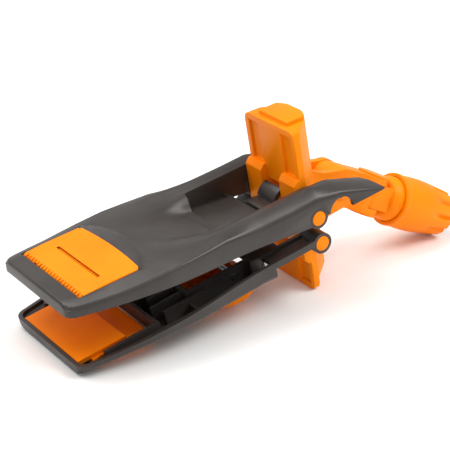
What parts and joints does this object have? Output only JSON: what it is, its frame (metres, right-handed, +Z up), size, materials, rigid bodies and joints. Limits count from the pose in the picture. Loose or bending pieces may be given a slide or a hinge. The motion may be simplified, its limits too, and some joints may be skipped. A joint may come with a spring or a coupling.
{
  "type": "folding flat mop frame",
  "caption": "Folding flat mop frame lying folded: hinged wings with rocking mop clips, a centre body with locking arms, a foot pedal, a swivel neck and a pole clamp nut.",
  "frame": {"origin": "middle of the folded frame on the surface it lies on", "axes": "+Z up, +X along the frame from the wings' outer ends to the pole nut, +Y across, along the wing hinges"},
  "size_m": [0.3409, 0.1038, 0.1255],
  "materials": {
    "orange_plastic": "moulded polypropylene, satin",
    "dark_plastic": "moulded glass-filled plastic, fine satin grain",
    "steel": "drawn spring steel"
  },
  "bodies": {
    "centre": {"centre_body": "orange_plastic", "upper_hinge_pins": "orange_plastic", "lower_hinge_pins": "orange_plastic", "neck_pin": "orange_plastic", "neck_pin_cap": "orange_plastic"},
    "upper_wing": {"upper_wing": "dark_plastic", "upper_clip_pin": "steel", "upper_clip_spring": "steel"},
    "lower_wing": {"lower_wing": "dark_plastic", "lower_clip_pin": "steel", "lower_clip_spring": "steel", "pedal_pin": "steel", "pedal_spring": "steel"},
    "upper_clip": {"upper_clip": "orange_plastic"},
    "lower_clip": {"lower_clip": "orange_plastic"},
    "foot_pedal": {"foot_pedal": "orange_plastic"},
    "neck": {"neck": "orange_plastic", "socket_pin": "orange_plastic"},
    "socket": {"pole_socket": "orange_plastic", "lock_rivet": "orange_plastic", "pole_collet": "dark_plastic"},
    "clamp_nut": {"clamp_nut": "orange_plastic"}
  },
  "joints": [
    {"name": "upper_wing_fold", "type": "hinge", "parent": "centre", "child": "upper_wing", "pos_m": [0.01721, 0, 0.0635], "axis": [0, 1, 0], "range_deg": [0, 85]},
    {"name": "lower_wing_fold", "type": "hinge", "parent": "centre", "child": "lower_wing", "pos_m": [0.0204, 0, 0.04477], "axis": [0, -1, 0], "range_deg": [0, 87]},
    {"name": "upper_clip_press", "type": "hinge", "parent": "upper_wing", "child": "upper_clip", "pos_m": [-0.14643, 0, 0.05112], "axis": [0, -1, 0], "range_deg": [0, 12], "stiffness_Nm_per_rad": 0.6, "springref_deg": -5.73, "deforming": ["upper_clip_spring"]},
    {"name": "lower_clip_press", "type": "hinge", "parent": "lower_wing", "child": "lower_clip", "pos_m": [-0.13948, 0, 0.00778], "axis": [0, 1, 0], "range_deg": [0, 12], "stiffness_Nm_per_rad": 0.6, "springref_deg": -5.73, "deforming": ["lower_clip_spring"]},
    {"name": "pedal_press", "type": "hinge", "parent": "lower_wing", "child": "foot_pedal", "pos_m": [-0.03787, 0, 0.02961], "axis": [0, 1, 0], "range_deg": [0, 12], "stiffness_Nm_per_rad": 1.2, "springref_deg": -5.73, "deforming": ["pedal_spring"]},
    {"name": "neck_swing", "type": "hinge", "parent": "centre", "child": "neck", "pos_m": [0.06184, 0, 0.0635], "axis": [0, -1, 0], "range_deg": [-39.78, 110.22]},
    {"name": "socket_tilt", "type": "hinge", "parent": "neck", "child": "socket", "pos_m": [0.09432, 0, 0.04798], "axis": [0.4312, 0, 0.9022], "range_deg": [-50, 50]},
    {"name": "nut_turn", "type": "hinge", "parent": "socket", "child": "clamp_nut", "pos_m": [0.1453, 0, 0.02361], "axis": [0.9022, 0, -0.4312], "range_deg": [0, 180]}
  ]
}
